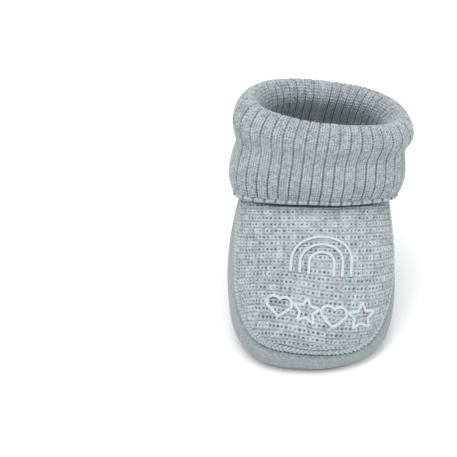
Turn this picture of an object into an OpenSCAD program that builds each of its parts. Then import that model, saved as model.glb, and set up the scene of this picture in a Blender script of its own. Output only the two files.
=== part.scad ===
// Knitted baby bootie: banded-knit front panel, plain-knit wrap, turned-down rib cuff,
// jersey lining, wadding insole and an embroidered front. Toe towards -Y, sole on Z = 0.

/* [Foot] */
// Length from toe to heel
foot_l = 98; // [94:1:104]
// Greatest width of the ground-hugging wrap
foot_w = 66.5; // [64:0.5:70]
// Height of the ankle seam at the instep
instep_h = 48; // [47:0.5:48.5]
// Height of the front panel's seam at the toe
toe_seam_h = 9.3; // [9:0.1:10.5]
// How far the toe bends to the left
toe_bend = 3.4; // [0:0.2:4.4]
// How far the toe rolls over to the right
toe_roll = 1; // [0:0.1:1.2]

/* [Cuff] */
// Height of the cuff's fold
fold_h = 79; // [77:1:84]
// Height of the turned-down cuff's lower edge at the front
hem_h = 50.5; // [50:0.5:52]
// How far the fold leans to the right
cuff_lean = 7.5; // [0:0.5:8]
// How far the fold dips on the right and rises on the left
cuff_dip = 5; // [0:0.5:6]

/* [Fabric] */
// Thickness of the outer knit
knit_t = 1.8; // [1.5:0.1:2]
// Thickness of the rib knit
rib_t = 2.2; // [1.8:0.1:2.3]
// Thickness of the jersey lining
lining_t = 1.2; // [0.8:0.1:1.3]
// Thickness of the wadding insole
pad_t = 3; // [2:0.5:3.5]
// Diameter of a linked seam
seam_d = 2.2; // [1.8:0.1:2.3]

/* [Embroidery] */
// Width of a satin-stitched stroke
stroke_w = 1.2; // [1:0.1:1.3]
// Radius of the rainbow's outer arch
rainbow_r = 11.6; // [10:0.2:12]
// Width of a heart, and of a star
motif_w = 9.6; // [9:0.2:10]

/* [Hidden] */

grey_knit = [0.66, 0.69, 0.70];
grey_jersey = [0.56, 0.59, 0.60];
grey_rib = [0.61, 0.64, 0.66];
grey_thread = [0.70, 0.73, 0.74];
white_thread = [0.86, 0.89, 0.90];

toe_y = -foot_l / 2;
heel_y = foot_l / 2;
wide_y = toe_y + 41;             // where the foot is widest
under = 7;                       // how far the ground outline lies inside the widest one
toe_turn = 26;                   // outline angle where the toe's seam turns into the side's
side_turn = 100;                 // outline angle of the ankle's front corners
ease = 0.15;                     // air between touching pieces
lining_in = knit_t + 0.6;        // depth of the lining's outer face
floor_in = knit_t + pad_t + 2 * ease;   // height of the lining's underside
seam_half = seam_d / 2 + ease;   // half of the slot that a seam lies in
fine_r = 0.6;                    // radius of a fine seam's chain

// A ring: half width, Y where it is widest, front Y, back Y, front Z, side Z, back Z
ankle_ring = [28.8, toe_y + 57, toe_y + 48.5, toe_y + 93.5, instep_h, instep_h - 3,
    instep_h - 2];
fold_drop = fold_h - hem_h;
cuff_rings = [   // the inner and the turned-down leg stay clear of each other all round
    ankle_ring + [-1.6, 3, 1.1, -0.4, 2.4, 2.4, 2.4],
    [26.8, toe_y + 64, toe_y + 53, toe_y + 91.4, hem_h + 7, hem_h + 5, hem_h + 5],
    [25.4, toe_y + 67, toe_y + 56.2, toe_y + 89.4, fold_h - 12, fold_h - 14, fold_h - 14],
    [26, toe_y + 69.5, toe_y + 59.8, toe_y + 87.2, fold_h - 6, fold_h - 5.5, fold_h - 5.5],
    [30.4, toe_y + 69, toe_y + 55.5, toe_y + 91, fold_h - 1.4, fold_h - 1, fold_h - 1],
    [34.2, toe_y + 66.5, toe_y + 51.2, toe_y + 94.2, fold_h - 6, fold_h - 5.5, fold_h - 5.5],
    [32.6, toe_y + 63.5, toe_y + 49.6, toe_y + 94.8, fold_h - 0.45 * fold_drop,
        fold_h - 0.5 * fold_drop, fold_h - 0.5 * fold_drop],
    [32.8, toe_y + 59.5, toe_y + 46.3, toe_y + 96.6, hem_h + 6, hem_h + 3.4, hem_h + 3],
    [31.5, toe_y + 57, toe_y + 45.6, toe_y + 96.5, hem_h, hem_h - 2.4, hem_h - 2.7]
];

// The front panel's middle line, from the toe seam to the instep, as [Y, Z] control points
front_curve = [
    [toe_y + 2.2, toe_seam_h], [toe_y - 6, 22], [toe_y + 13, 34],
    [ankle_ring[2], instep_h]
];

function lerp(a, b, t) = a * (1 - t) + b * t;
function soft(t) = t * t * (3 - 2 * t);
function spow(x, p) = sign(x) * pow(abs(x), p);
function unit(v) = v / max(norm(v), 1e-9);
function bezier(p, t) =
    let (s = 1 - t)
    s * s * s * p[0] + 3 * s * s * t * p[1] + 3 * s * t * t * p[2] + t * t * t * p[3];
function catmull(p, t) =
    let (n = len(p) - 1, k = max(min(floor(t * n), n - 1), 0), f = t * n - k)
    let (b = p[k], c = p[k + 1])
    let (a = k > 0 ? p[k - 1] : 2 * b - c, d = k + 2 <= n ? p[k + 2] : 2 * c - b)
    b + 0.5 * f * (c - a + f * (2 * a - 5 * b + 4 * c - d + f * (3 * (b - c) + d - a)));
function steps(a, b, n) = [for (i = [0 : n]) a + (b - a) * i / n];
function turn(n) = [for (i = [0 : n - 1]) 360 * i / n];
function folded(a) = a > 180 ? a - 360 : a;   // an angle from -180 to 180

// How the soft bootie sits: the toe bends and rolls, and the fold leans to one side and dips
function slumped(p) =
    let (h = p.z / fold_h, toe = pow(max(wide_y - p.y, 0) / 41, 2))
    [
        p.x + cuff_lean * h * h - toe_bend * toe,
        p.y,
        p.z * (1 - toe_roll * toe * p.x / foot_w) - cuff_dip * p.x / 33 * h * h * h
    ];

// Length along the front panel's middle line, against its curve parameter
curve_steps = 48;
function length_to(k) =
    k == 0 ? 0
    : length_to(k - 1)
        + norm(bezier(front_curve, k / curve_steps) - bezier(front_curve, (k - 1) / curve_steps));
front_table = [for (k = [0 : curve_steps]) [length_to(k), k / curve_steps]];
front_l = front_table[curve_steps][0];

// A point of a ring, at an angle from the toe
function ring(r, a) =
    let (s = sin(a), c = cos(a), n = c > 0 ? 1 : 0.87)
    [
        r[0] * spow(s, n),
        c > 0 ? r[1] - (r[1] - r[2]) * c : r[1] + (r[3] - r[1]) * pow(-c, n),
        r[5] + (c > 0 ? (r[4] - r[5]) * c : (r[5] - r[6]) * c)
    ];

// The foot's outline in plan, taken in by some distance
function outline(a, inset) =
    let (s = sin(a), c = cos(a), n = c > 0 ? 0.85 : 0.87)
    let (reach = (c > 0 ? wide_y - toe_y : heel_y - wide_y) - inset)
    [(foot_w / 2 - inset) * spow(s, n), wide_y - reach * spow(c, n)];

// The side stretch of the front panel's seam, from the toe's turn (q 0) to the ankle (q 1)
function side_seam(q) =
    let (plan = outline(lerp(toe_turn, side_turn, q), 1.6))
    let (at = lerp(plan, [ankle_ring[0], ankle_ring[1]], pow(q, 6)))
    [at.x, at.y, lerp(toe_seam_h + 0.2, ankle_ring[5], pow(q, 2.2))];
function side_at(t) = side_seam(max(1 - pow(max(1 - t, 0), 1.9), 0));

// The front panel's surface: s from -1 to 1 across it, t from 0 at the toe to 1 at the ankle
function front_surface(s, t) =
    let (c = bezier(front_curve, lookup(t * front_l, front_table)))
    let (e = side_at(t), arch = max(cos(90 * s), 0))
    [
        e.x * sin(90 * s),
        lerp(e.y, c[0], pow(arch, lerp(2, 1, t))),
        lerp(e.z, c[1], arch)
    ];

// The upper edge of the lower wrap
function wrap_edge(a) =
    let (w = folded(a), m = abs(w), side = w < 0 ? -1 : 1)
    let (q = (m - toe_turn) / (side_turn - toe_turn), p = side_seam(q))
    m <= toe_turn ? front_surface(w / toe_turn, 0)
    : m < side_turn ? [side * p.x, p.y, p.z]
    : ring(ankle_ring, side * (90 + 90 * (m - side_turn) / (180 - side_turn)));

// The lower wrap's surface: a round the foot, v from 0 on the ground to 1 at its upper edge
function wrap_surface(a, v) =
    let (low = outline(a, under), wide = outline(a, 0), top = wrap_edge(a))
    let (m = min(abs(folded(a)) / 60, 1), swell = lerp(-0.4, 1.4, soft(m)))
    let (out = wide + unit(wide - low) * swell)
    bezier([
        [low.x, low.y, 0],
        [lerp(low.x, wide.x, 1.15), lerp(low.y, wide.y, 1.15), 0],
        [out.x, out.y, 0.6 * top.z],
        top
    ], v);

front_f = function (s, t) front_surface(s, t);
wrap_f = function (a, v) wrap_surface(a, v);
cuff_f = function (a, v) ring(catmull(cuff_rings, v), a);

// The outward unit normal of a surface f(u, v), by central differences
function normal(f, u, v, du, dv) =
    unit(cross(f(u + du, v) - f(u - du, v), f(u, v + dv) - f(u, v - dv)));
function lifted(f, u, v, du, dv, lift) = f(u, v) + lift * normal(f, u, v, du, dv);
function front_lifted(s, t, lift) = lifted(front_f, s, t, 0.01, 0.01, lift);

// A place on the front panel, x across and b up from the toe seam, as [s, t]
function on_front(x, b) =
    let (t = b / front_l)
    [asin(x / side_at(t).x) / 90, t];

// Cloth between two grids of points, outer[i][j] and inner[i][j]. A ring closes on itself
// in i. A floor closes both grids at j = 0 with a point each.
module cloth(outer, inner, is_ring, floor_points = []) {
    ni = len(outer);
    nj = len(outer[0]);
    function at(i, j, side) = 2 * ((i % ni) * nj + j) + side;
    function quad(a, b, c, d) = [[a, b, c], [a, c, d]];
    base = 2 * ni * nj;
    spans = is_ring ? ni : ni - 1;
    has_floor = len(floor_points) > 0;
    points = concat(
        [for (i = [0 : ni - 1]) for (j = [0 : nj - 1]) each [outer[i][j], inner[i][j]]],
        floor_points
    );
    faces = concat(
        [for (i = [0 : spans - 1]) for (j = [0 : nj - 2])
            each concat(
                quad(at(i, j, 0), at(i, j + 1, 0), at(i + 1, j + 1, 0), at(i + 1, j, 0)),
                quad(at(i, j, 1), at(i + 1, j, 1), at(i + 1, j + 1, 1), at(i, j + 1, 1))
            )],
        [for (i = [0 : spans - 1])
            each quad(at(i, nj - 1, 0), at(i, nj - 1, 1), at(i + 1, nj - 1, 1),
                at(i + 1, nj - 1, 0))],
        [for (i = [0 : spans - 1])
            each has_floor
                ? [[at(i, 0, 0), at(i + 1, 0, 0), base], [at(i, 0, 1), base + 1, at(i + 1, 0, 1)]]
                : quad(at(i, 0, 0), at(i + 1, 0, 0), at(i + 1, 0, 1), at(i, 0, 1))],
        is_ring ? [] : [for (j = [0 : nj - 2])
            each concat(
                quad(at(0, j, 0), at(0, j, 1), at(0, j + 1, 1), at(0, j + 1, 0)),
                quad(at(ni - 1, j, 0), at(ni - 1, j + 1, 0), at(ni - 1, j + 1, 1),
                    at(ni - 1, j, 1))
            )]
    );
    polyhedron([for (p = points) slumped(p)], faces, convexity = 6);
}

// A round chain of yarn along a path; ups gives the side of it that faces up at each point
module yarn(path, ups, r, sides, is_ring) {
    n = len(path);
    function before(i) = is_ring ? path[(i + n - 1) % n] : path[max(i - 1, 0)];
    function after(i) = is_ring ? path[(i + 1) % n] : path[min(i + 1, n - 1)];
    loops = [for (i = [0 : n - 1])
        let (along = unit(after(i) - before(i)))
        let (across = unit(cross(along, ups[i])), up = cross(across, along))
        [for (k = [0 : sides - 1])
            path[i] + r * (cos(360 * k / sides) * up + sin(360 * k / sides) * across)]];
    spans = is_ring ? n : n - 1;
    faces = concat(
        [for (i = [0 : spans - 1]) for (k = [0 : sides - 1])
            let (a = i * sides + k, b = i * sides + (k + 1) % sides)
            let (c = ((i + 1) % n) * sides + (k + 1) % sides, d = ((i + 1) % n) * sides + k)
            each [[a, b, c], [a, c, d]]],
        is_ring ? [] : [
            [for (k = [0 : sides - 1]) sides - 1 - k],
            [for (k = [0 : sides - 1]) (n - 1) * sides + k]
        ]
    );
    polyhedron([for (l = loops) for (p = l) slumped(p)], faces, convexity = 4);
}

// A patch of cloth under the front panel's surface, between two depths
module front_patch(s_edge, t_low, t_high, depth_out, depth_in, ns, nt) {
    function grid(depth) =
        [for (s = steps(-s_edge, s_edge, ns))
            [for (t = steps(t_low, t_high, nt)) front_lifted(s, t, -depth)]];
    cloth(grid(depth_out), grid(depth_in), false);
}

// A patch that fills the front panel's seam line from edge to edge
module whole_front(depth_out, depth_in, ns, nt) {
    front_patch(1 - seam_half / 45, seam_half / front_l, 1 - seam_half / front_l,
        depth_out, depth_in, ns, nt);
}

// A cup under the lower wrap's surface, between two depths, with its floor between two heights
module wrap_cup(depth_out, depth_in, low_out, low_in, na, nv) {
    function grid(depth, low) =
        [for (a = turn(na))
            let (top = 1 - seam_half / norm(wrap_surface(a, 1) - wrap_surface(a, 0)))
            [for (v = steps(0, top, nv))
                let (p = lifted(wrap_f, a, max(v, 0.02), 0.5, 0.01, -depth))
                let (q = v == 0 ? outline(a, under + 0.6 * depth) : [p.x, p.y])
                [q.x, q.y, v == 0 ? low : max(p.z, low + 0.02 * v)]]];
    cloth(grid(depth_out, low_out), grid(depth_in, low_in), true,
        [[0, wide_y, low_out], [0, wide_y, low_in]]);
}

// A chain along the seam round the front panel, some depth under its surface
module panel_chain(depth, r, sides, n_side, n_toe) {
    places = concat(   // evenly spaced, and eased across the toe's two corners
        [for (t = steps(0.96, 0.025, n_side)) [-1, t]],
        [for (x = steps(-0.93, 0.93, n_toe)) [asin(x) / 90, 0]],
        [for (t = steps(0.025, 0.96, n_side)) [1, t]]
    );
    yarn([for (p = places) front_lifted(p[0], p[1], -depth)],
        [for (p = places) normal(front_f, p[0], p[1], 0.01, 0.01)], r, sides, false);
}

// A satin-stitched line on the front panel, through [across, up] points
module stitched(line, closed) {
    places = [for (p = line) on_front(p[0], p[1])];
    yarn([for (p = places) front_lifted(p[0], p[1], stroke_w / 2 + ease)],
        [for (p = places) normal(front_f, p[0], p[1], 0.01, 0.01)], stroke_w / 2, 6, closed);
}

function arch_line(x, r, foot_b, leg) = concat(
    [[x - r, foot_b], [x - r, foot_b + leg / 2]],
    [for (a = steps(180, 0, 14)) [x + r * cos(a), foot_b + leg + r * sin(a)]],
    [[x + r, foot_b + leg / 2], [x + r, foot_b]]
);
// Two round lobes that meet in a notch, wide enough for the stroke to turn in
function heart_line(x, b, w) =
    let (r = 0.27 * w, c = 0.23 * w, up = b + 0.1 * w)
    concat(
        [[x, b - 0.44 * w], [x + 0.24 * w, b - 0.25 * w]],
        [for (a = steps(-35, 118, 6)) [x + c + r * cos(a), up + r * sin(a)]],
        [[x, up + 0.141 * w]],
        [for (a = steps(62, 215, 6)) [x - c + r * cos(a), up + r * sin(a)]],
        [[x - 0.24 * w, b - 0.25 * w]]
    );
function star_line(x, b, w) =
    [for (k = [0 : 9]) for (f = [0, 0.5])
        let (r0 = k % 2 == 0 ? 1 : 0.5, r1 = 1.5 - r0)
        [x, b] + w / 1.9 * lerp(r0 * [sin(36 * k), cos(36 * k)],
            r1 * [sin(36 * k + 36), cos(36 * k + 36)], f)];

rainbow_x = 1.6;                 // how far right of the middle the rainbow stands
rainbow_foot = 33;               // how far up the front panel its feet are
rainbow_leg = 5.5;
row_x = 2.6;                     // how far right of the middle the row of motifs lies
row_up = 18;                     // how far up the front panel it lies
row_pitch = 10.4;

module front_panel() {
    color(grey_knit) whole_front(0, knit_t, 24, 20);
}

module lower_wrap() {
    color(grey_jersey) wrap_cup(0, knit_t, 0, knit_t, 64, 11);
}

module rib_cuff() {
    function grid(lift) =
        [for (a = turn(52)) [for (v = steps(0, 1, 20)) lifted(cuff_f, a, v, 1, 0.004, lift)]];
    color(grey_rib) cloth(grid(-rib_t / 2), grid(rib_t / 2), true);
}

module cuff_hem() {
    color(grey_rib)
    yarn([for (a = turn(52)) cuff_f(a, 1) - [0, 0, seam_half]],
        [for (a = turn(52)) [0, 0, 1]], seam_d / 2, 8, true);
}

module cuff_back_seam() {
    lift = -(rib_t / 2 + fine_r + ease);
    color(grey_thread)
    yarn([for (v = steps(0.03, 0.97, 32)) lifted(cuff_f, 180, v, 1, 0.004, lift)],
        [for (v = steps(0.03, 0.97, 32)) normal(cuff_f, 180, v, 1, 0.004)], fine_r, 6, false);
}

module front_panel_seam() {
    color(grey_thread) panel_chain(0.3, seam_d / 2, 8, 22, 10);
}

module ankle_seam() {
    color(grey_thread)
    yarn([for (a = turn(60)) ring(ankle_ring, a)], [for (a = turn(60)) [0, 0, 1]],
        seam_d / 2, 8, true);
}

module heel_seam() {
    color(grey_thread)
    yarn([for (v = steps(0.2, 0.93, 14)) lifted(wrap_f, 180, v, 0.5, 0.01, fine_r + ease)],
        [for (v = steps(0.2, 0.93, 14)) normal(wrap_f, 180, v, 0.5, 0.01)], fine_r, 6, false);
}

module lining_front() {
    color(grey_jersey)
    front_patch(0.93, 0.035, 0.925, lining_in, lining_in + lining_t, 16, 13);
}

module lining_lower() {
    color(grey_jersey)
    wrap_cup(lining_in, lining_in + lining_t, floor_in, floor_in + lining_t, 48, 9);
}

module lining_seam() {
    color(grey_thread) panel_chain(lining_in + lining_t / 2, fine_r, 6, 16, 8);
}

module insole_pad() {
    color(white_thread)
    translate([0, 0, knit_t + ease])
        linear_extrude(pad_t) polygon([for (a = turn(72)) outline(a, under + 1)]);
}

module embroidery_backing() {
    color(white_thread)
    front_patch(0.5, 0.16, 0.84, knit_t + ease, knit_t + ease + 0.3, 8, 10);
}

module embroidered_rainbow() {
    color(white_thread)
    for (k = [0 : 2])
        stitched(arch_line(rainbow_x, rainbow_r - 3.4 * k, rainbow_foot, rainbow_leg), false);
}

module embroidered_hearts() {
    color(white_thread)
    for (k = [-1.5, 0.5])
        stitched(heart_line(row_x + k * row_pitch, row_up, motif_w), true);
}

module embroidered_stars() {
    color(white_thread)
    for (k = [-0.5, 1.5])
        stitched(star_line(row_x + k * row_pitch, row_up, motif_w), true);
}

front_panel();
lower_wrap();
rib_cuff();
cuff_hem();
cuff_back_seam();
front_panel_seam();
ankle_seam();
heel_seam();
lining_front();
lining_lower();
lining_seam();
insole_pad();
embroidery_backing();
embroidered_rainbow();
embroidered_hearts();
embroidered_stars();
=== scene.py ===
import math

import bpy
import numpy as np
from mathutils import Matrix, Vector


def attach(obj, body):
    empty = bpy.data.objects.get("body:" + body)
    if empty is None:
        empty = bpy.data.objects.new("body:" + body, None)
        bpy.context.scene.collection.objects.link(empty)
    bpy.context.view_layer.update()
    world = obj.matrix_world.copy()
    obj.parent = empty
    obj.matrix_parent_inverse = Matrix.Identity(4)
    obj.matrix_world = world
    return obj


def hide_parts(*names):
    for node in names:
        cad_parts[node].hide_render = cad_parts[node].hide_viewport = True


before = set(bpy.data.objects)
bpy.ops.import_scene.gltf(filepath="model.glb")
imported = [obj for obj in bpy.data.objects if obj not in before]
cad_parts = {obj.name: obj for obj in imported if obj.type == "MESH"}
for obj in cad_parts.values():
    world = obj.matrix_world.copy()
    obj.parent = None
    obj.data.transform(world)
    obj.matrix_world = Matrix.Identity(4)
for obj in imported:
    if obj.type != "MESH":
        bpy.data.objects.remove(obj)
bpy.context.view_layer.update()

mm = 0.001
scene = bpy.context.scene

# The bootie is seen from its toe, a little from the left and well above.
view = {
    "azimuth": -5.0,  # degrees, negative is from the left
    "elevation": 32.0,
    "distance": 800.0,  # mm
    "middle": (0.0, 0.0, 38.0),  # mm, the bootie's own middle
    "aside": 32.2, "above": 2.7,  # mm that it stands right of the picture's middle, and above it
    "width": 180.6,  # mm across the picture at that distance
}


def makeCamera():
    a, e = math.radians(view["azimuth"]), math.radians(view["elevation"])
    back = Vector((math.sin(a) * math.cos(e), -math.cos(a) * math.cos(e), math.sin(e)))
    data = bpy.data.cameras.new("camera")
    data.lens = data.sensor_width * view["distance"] / view["width"]
    data.clip_start, data.clip_end = 0.01, 20
    cam = bpy.data.objects.new("camera", data)
    middle = Vector(view["middle"]) * mm
    right = Vector((math.cos(a), math.sin(a), 0))
    aim = middle - right * view["aside"] * mm - back.cross(right) * view["above"] * mm
    cam.location = middle + back * view["distance"] * mm
    cam.rotation_mode = "QUATERNION"
    cam.rotation_quaternion = (aim - cam.location).to_track_quat("-Z", "Y")
    scene.collection.objects.link(cam)
    scene.camera = cam


makeCamera()
print("camera ready")

# Three smooth surfaces carry every piece: the wrap, the front panel and the cuff.
# Lengths are in mm and angles in degrees round the foot from the toe.
foot = {
    "length": 98.0, "width": 66.5, "instep": 48.0, "toeSeam": 9.3,
    "wideAt": 41.0,  # from the toe to the widest place
    "under": 7.0,  # how far the ground outline lies inside the widest one
    "toeTurn": 26.0, "sideTurn": 100.0,  # where the panel's seam leaves the toe and meets the ankle
    "fold": 79.0, "hem": 50.5,  # heights of the cuff's fold and lower edge
    "lean": 7.5, "dip": 5.0,  # how the soft cuff leans to one side and dips there
    "bend": 3.4,  # how far the toe bends to the left
    "roll": 1.0,  # how far the toe rolls over to the right
    "slot": 1.25,  # half of the gap that a seam lies in
}
toeY, heelY = -foot["length"] / 2, foot["length"] / 2
wideY = toeY + foot["wideAt"]
# A ring: half width, Y where widest, front Y, back Y, front Z, side Z, back Z
ankle = np.array([28.8, toeY + 57, toeY + 48.5, toeY + 93.5,
                  foot["instep"], foot["instep"] - 3, foot["instep"] - 2])


def cuffRings():
    fold, hem, y = foot["fold"], foot["hem"], toeY
    drop = fold - hem
    return np.array([
        ankle + [-1.6, 3, 1.1, -0.4, 2.4, 2.4, 2.4],
        [26.8, y + 64, y + 53, y + 91.4, hem + 7, hem + 5, hem + 5],
        [25.4, y + 67, y + 56.2, y + 89.4, fold - 12, fold - 14, fold - 14],
        [26, y + 69.5, y + 59.8, y + 87.2, fold - 6, fold - 5.5, fold - 5.5],
        [30.4, y + 69, y + 55.5, y + 91, fold - 1.4, fold - 1, fold - 1],
        [34.2, y + 66.5, y + 51.2, y + 94.2, fold - 6, fold - 5.5, fold - 5.5],
        [32.6, y + 63.5, y + 49.6, y + 94.8, fold - 0.45 * drop, fold - 0.5 * drop, fold - 0.5 * drop],
        [32.8, y + 59.5, y + 46.3, y + 96.6, hem + 6, hem + 3.4, hem + 3],
        [31.5, y + 57, y + 45.6, y + 96.5, hem, hem - 2.4, hem - 2.7],
    ])


rings = cuffRings()
frontCurve = np.array([[toeY + 2.2, foot["toeSeam"]], [toeY - 6, 22], [toeY + 13, 34],
                       [ankle[2], foot["instep"]]])


def sinD(a):
    return np.sin(np.radians(a))


def cosD(a):
    return np.cos(np.radians(a))


def signedPower(x, p):
    return np.sign(x) * np.abs(x) ** p


def soft(t):
    t = np.clip(t, 0, 1)
    return t * t * (3 - 2 * t)


def bell(x, width):
    return np.exp(-((x / width) ** 2))


def join(*parts):
    return np.stack(np.broadcast_arrays(*parts), -1)


def unit(v):
    return v / np.maximum(np.linalg.norm(v, axis=-1, keepdims=True), 1e-9)


def bezier(p, t):
    t = t[..., None]
    s = 1 - t
    return s**3 * p[0] + 3 * s * s * t * p[1] + 3 * s * t * t * p[2] + t**3 * p[3]


def lengthsAlong(points):
    return np.r_[0, np.cumsum(np.linalg.norm(np.diff(points, axis=0), axis=1))]


curveT = np.linspace(0, 1, 400)
curveLength = lengthsAlong(bezier(frontCurve, curveT))
frontLength = curveLength[-1]


def slumped(p):
    h = p[..., 2] / foot["fold"]
    toe = (np.maximum(wideY - p[..., 1], 0) / foot["wideAt"]) ** 2
    return join(p[..., 0] + foot["lean"] * h * h - foot["bend"] * toe, p[..., 1],
                p[..., 2] * (1 - foot["roll"] * toe * p[..., 0] / foot["width"])
                - foot["dip"] * p[..., 0] / 33 * h**3)


def ringPoint(r, a):
    s, c = sinD(a), cosD(a)
    n = np.where(c > 0, 1, 0.87)
    front, back = r[..., 1] - r[..., 2], r[..., 3] - r[..., 1]
    return join(r[..., 0] * signedPower(s, n),
                np.where(c > 0, r[..., 1] - front * c, r[..., 1] + back * np.abs(c) ** n),
                r[..., 5] + np.where(c > 0, (r[..., 4] - r[..., 5]) * c, (r[..., 5] - r[..., 6]) * c))


def outline(a, inset):
    s, c = sinD(a), cosD(a)
    n = np.where(c > 0, 0.85, 0.87)
    reach = np.where(c > 0, wideY - toeY, heelY - wideY) - inset
    return join((foot["width"] / 2 - inset) * signedPower(s, n), wideY - reach * signedPower(c, n))


def sideSeam(q):
    q = np.clip(q, 0, 1)
    plan = outline(foot["toeTurn"] + (foot["sideTurn"] - foot["toeTurn"]) * q, 1.6)
    k = q**6
    low = foot["toeSeam"] + 0.2
    return join(plan[..., 0] * (1 - k) + ankle[0] * k, plan[..., 1] * (1 - k) + ankle[1] * k,
                low + (ankle[5] - low) * q**2.2)


def frontSurface(s, t):
    s, t = np.broadcast_arrays(np.asarray(s, float), np.asarray(t, float))
    c = bezier(frontCurve, np.interp(t * frontLength, curveLength, curveT))
    e = sideSeam(1 - np.clip(1 - t, 0, 1) ** 1.9)
    arch = np.maximum(cosD(90 * s), 0)
    k = arch ** (2 - t)
    return join(e[..., 0] * sinD(90 * s), e[..., 1] * (1 - k) + c[..., 0] * k,
                e[..., 2] * (1 - arch) + c[..., 1] * arch)


def wrapEdge(a):
    w = (a + 180) % 360 - 180
    m, side = np.abs(w), np.where(w < 0, -1.0, 1.0)
    turn, last = foot["toeTurn"], foot["sideTurn"]
    flank = sideSeam((m - turn) / (last - turn)) * join(side, 1.0, 1.0)
    back = ringPoint(np.broadcast_to(ankle, a.shape + (7,)),
                     side * (90 + 90 * np.maximum(m - last, 0) / (180 - last)))
    toe = frontSurface(np.clip(w / turn, -1, 1), 0 * w)
    return np.where((m <= turn)[..., None], toe, np.where((m < last)[..., None], flank, back))


def wrapSurface(a, v):
    a, v = np.broadcast_arrays(np.asarray(a, float), np.asarray(v, float))
    low, wide, top = outline(a, foot["under"]), outline(a, 0), wrapEdge(a)
    swell = -0.4 + 1.8 * soft(np.abs((a + 180) % 360 - 180) / 60)
    out = wide + unit(wide - low) * swell[..., None]
    mid = low + 1.15 * (wide - low)
    return bezier([join(low[..., 0], low[..., 1], 0.0), join(mid[..., 0], mid[..., 1], 0.0),
                   join(out[..., 0], out[..., 1], 0.6 * top[..., 2]), top], v)


def cuffSurface(a, v):
    a, v = np.broadcast_arrays(np.asarray(a, float), np.asarray(v, float))
    n = len(rings) - 1
    k = np.clip(np.floor(v * n).astype(int), 0, n - 1)
    f = (v * n - k)[..., None]
    b, c = rings[k], rings[k + 1]
    p = np.where((k > 0)[..., None], rings[np.maximum(k - 1, 0)], 2 * b - c)
    d = np.where((k + 2 <= n)[..., None], rings[np.minimum(k + 2, n)], 2 * c - b)
    r = b + 0.5 * f * (c - p + f * (2 * p - 5 * b + 4 * c - d + f * (3 * (b - c) + d - p)))
    return ringPoint(r, a)


def normalOf(surface, u, v, du, dv):
    across = surface(u + du, v) - surface(u - du, v)
    along = surface(u, v + dv) - surface(u, v - dv)
    return unit(np.cross(across, along))


# Each surface with the steps that its normals are measured over
frontCloth = (frontSurface, 0.01, 0.01)
wrapCloth = (wrapSurface, 0.5, 0.01)
cuffCloth = (cuffSurface, 1.0, 0.004)


def liftedFrom(cloth, u, v, lift):
    u, v = np.broadcast_arrays(np.asarray(u, float), np.asarray(v, float))
    lift = np.broadcast_to(np.asarray(lift, float), u.shape)
    surface, du, dv = cloth
    return surface(u, v) + normalOf(surface, u, v, du, dv) * lift[..., None]


def evenAngles(n, path):
    # angles whose points lie evenly round a closed path
    a = np.linspace(0, 360, 2881)
    reach = lengthsAlong(path(a))
    return np.interp(np.linspace(0, reach[-1], n + 1)[:-1], reach, a), reach[-1]


def scatter(i, j, seed):
    x = np.sin(i * 12.9898 + j * 78.233 + seed * 37.719) * 43758.5453
    return x - np.floor(x)


def ripple(x, y, size, seed):
    # smooth noise from -1 to 1 whose hills are about size apart
    x, y = x / size, y / size
    i, j = np.floor(x), np.floor(y)
    u, v = soft(x - i), soft(y - j)
    low = scatter(i, j, seed) * (1 - u) + scatter(i + 1, j, seed) * u
    high = scatter(i, j + 1, seed) * (1 - u) + scatter(i + 1, j + 1, seed) * u
    return 2 * (low * (1 - v) + high * v) - 1


def zipLoops(fine, coarse, flip):
    # triangles between a fine closed loop and a coarse one that has every nth point
    n = len(fine) // len(coarse)
    half = n // 2
    at = np.arange(len(fine))
    near = at // n + (at % n >= half)
    k = np.arange(len(coarse))
    tris = np.concatenate([
        np.stack([fine, np.roll(fine, -1), coarse[near % len(coarse)]], -1),
        np.stack([fine[k * n + half], np.roll(coarse, -1), coarse], -1),
    ])
    along = np.concatenate([
        np.stack([at / len(fine), (at + 1) / len(fine), near / len(coarse)], -1),
        np.stack([(k * n + half) / len(fine), (k + 1) / len(coarse), k / len(coarse)], -1),
    ])
    onFine, onCoarse = np.tile([0.0, 0.0, 1.0], (len(fine), 1)), np.tile([0.0, 1.0, 1.0], (len(coarse), 1))
    up = np.concatenate([onFine, onCoarse])
    uvs = np.stack([along, up], -1)
    return (tris[:, ::-1], uvs[:, ::-1]) if flip else (tris, uvs)


def gridCorners(ni, nj, closed):
    # the four grid places of each quad; a closed grid runs one step past its last column
    i, j = np.meshgrid(np.arange(ni if closed else ni - 1), np.arange(nj - 1), indexing="ij")
    i, j = i.ravel(), j.ravel()
    return np.stack([i, i + 1, i + 1, i], -1), np.stack([j, j, j + 1, j + 1], -1)


def gridFaces(index, closed, flip):
    ni, nj = index.shape
    i, j = gridCorners(ni, nj, closed)
    quads = index[i % ni, j]
    uvs = np.stack([i / (ni if closed else ni - 1), j / (nj - 1)], -1)
    return (quads[:, ::-1], uvs[:, ::-1]) if flip else (quads, uvs)


def placed(uvs, low, high):
    return np.stack([0.01 + 0.98 * uvs[..., 0], low + (high - low) * uvs[..., 1]], -1)


def edgeLoop(index):
    return np.concatenate([index[:-1, 0], index[-1, :-1], index[:0:-1, -1], index[0, :0:-1]])


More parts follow.
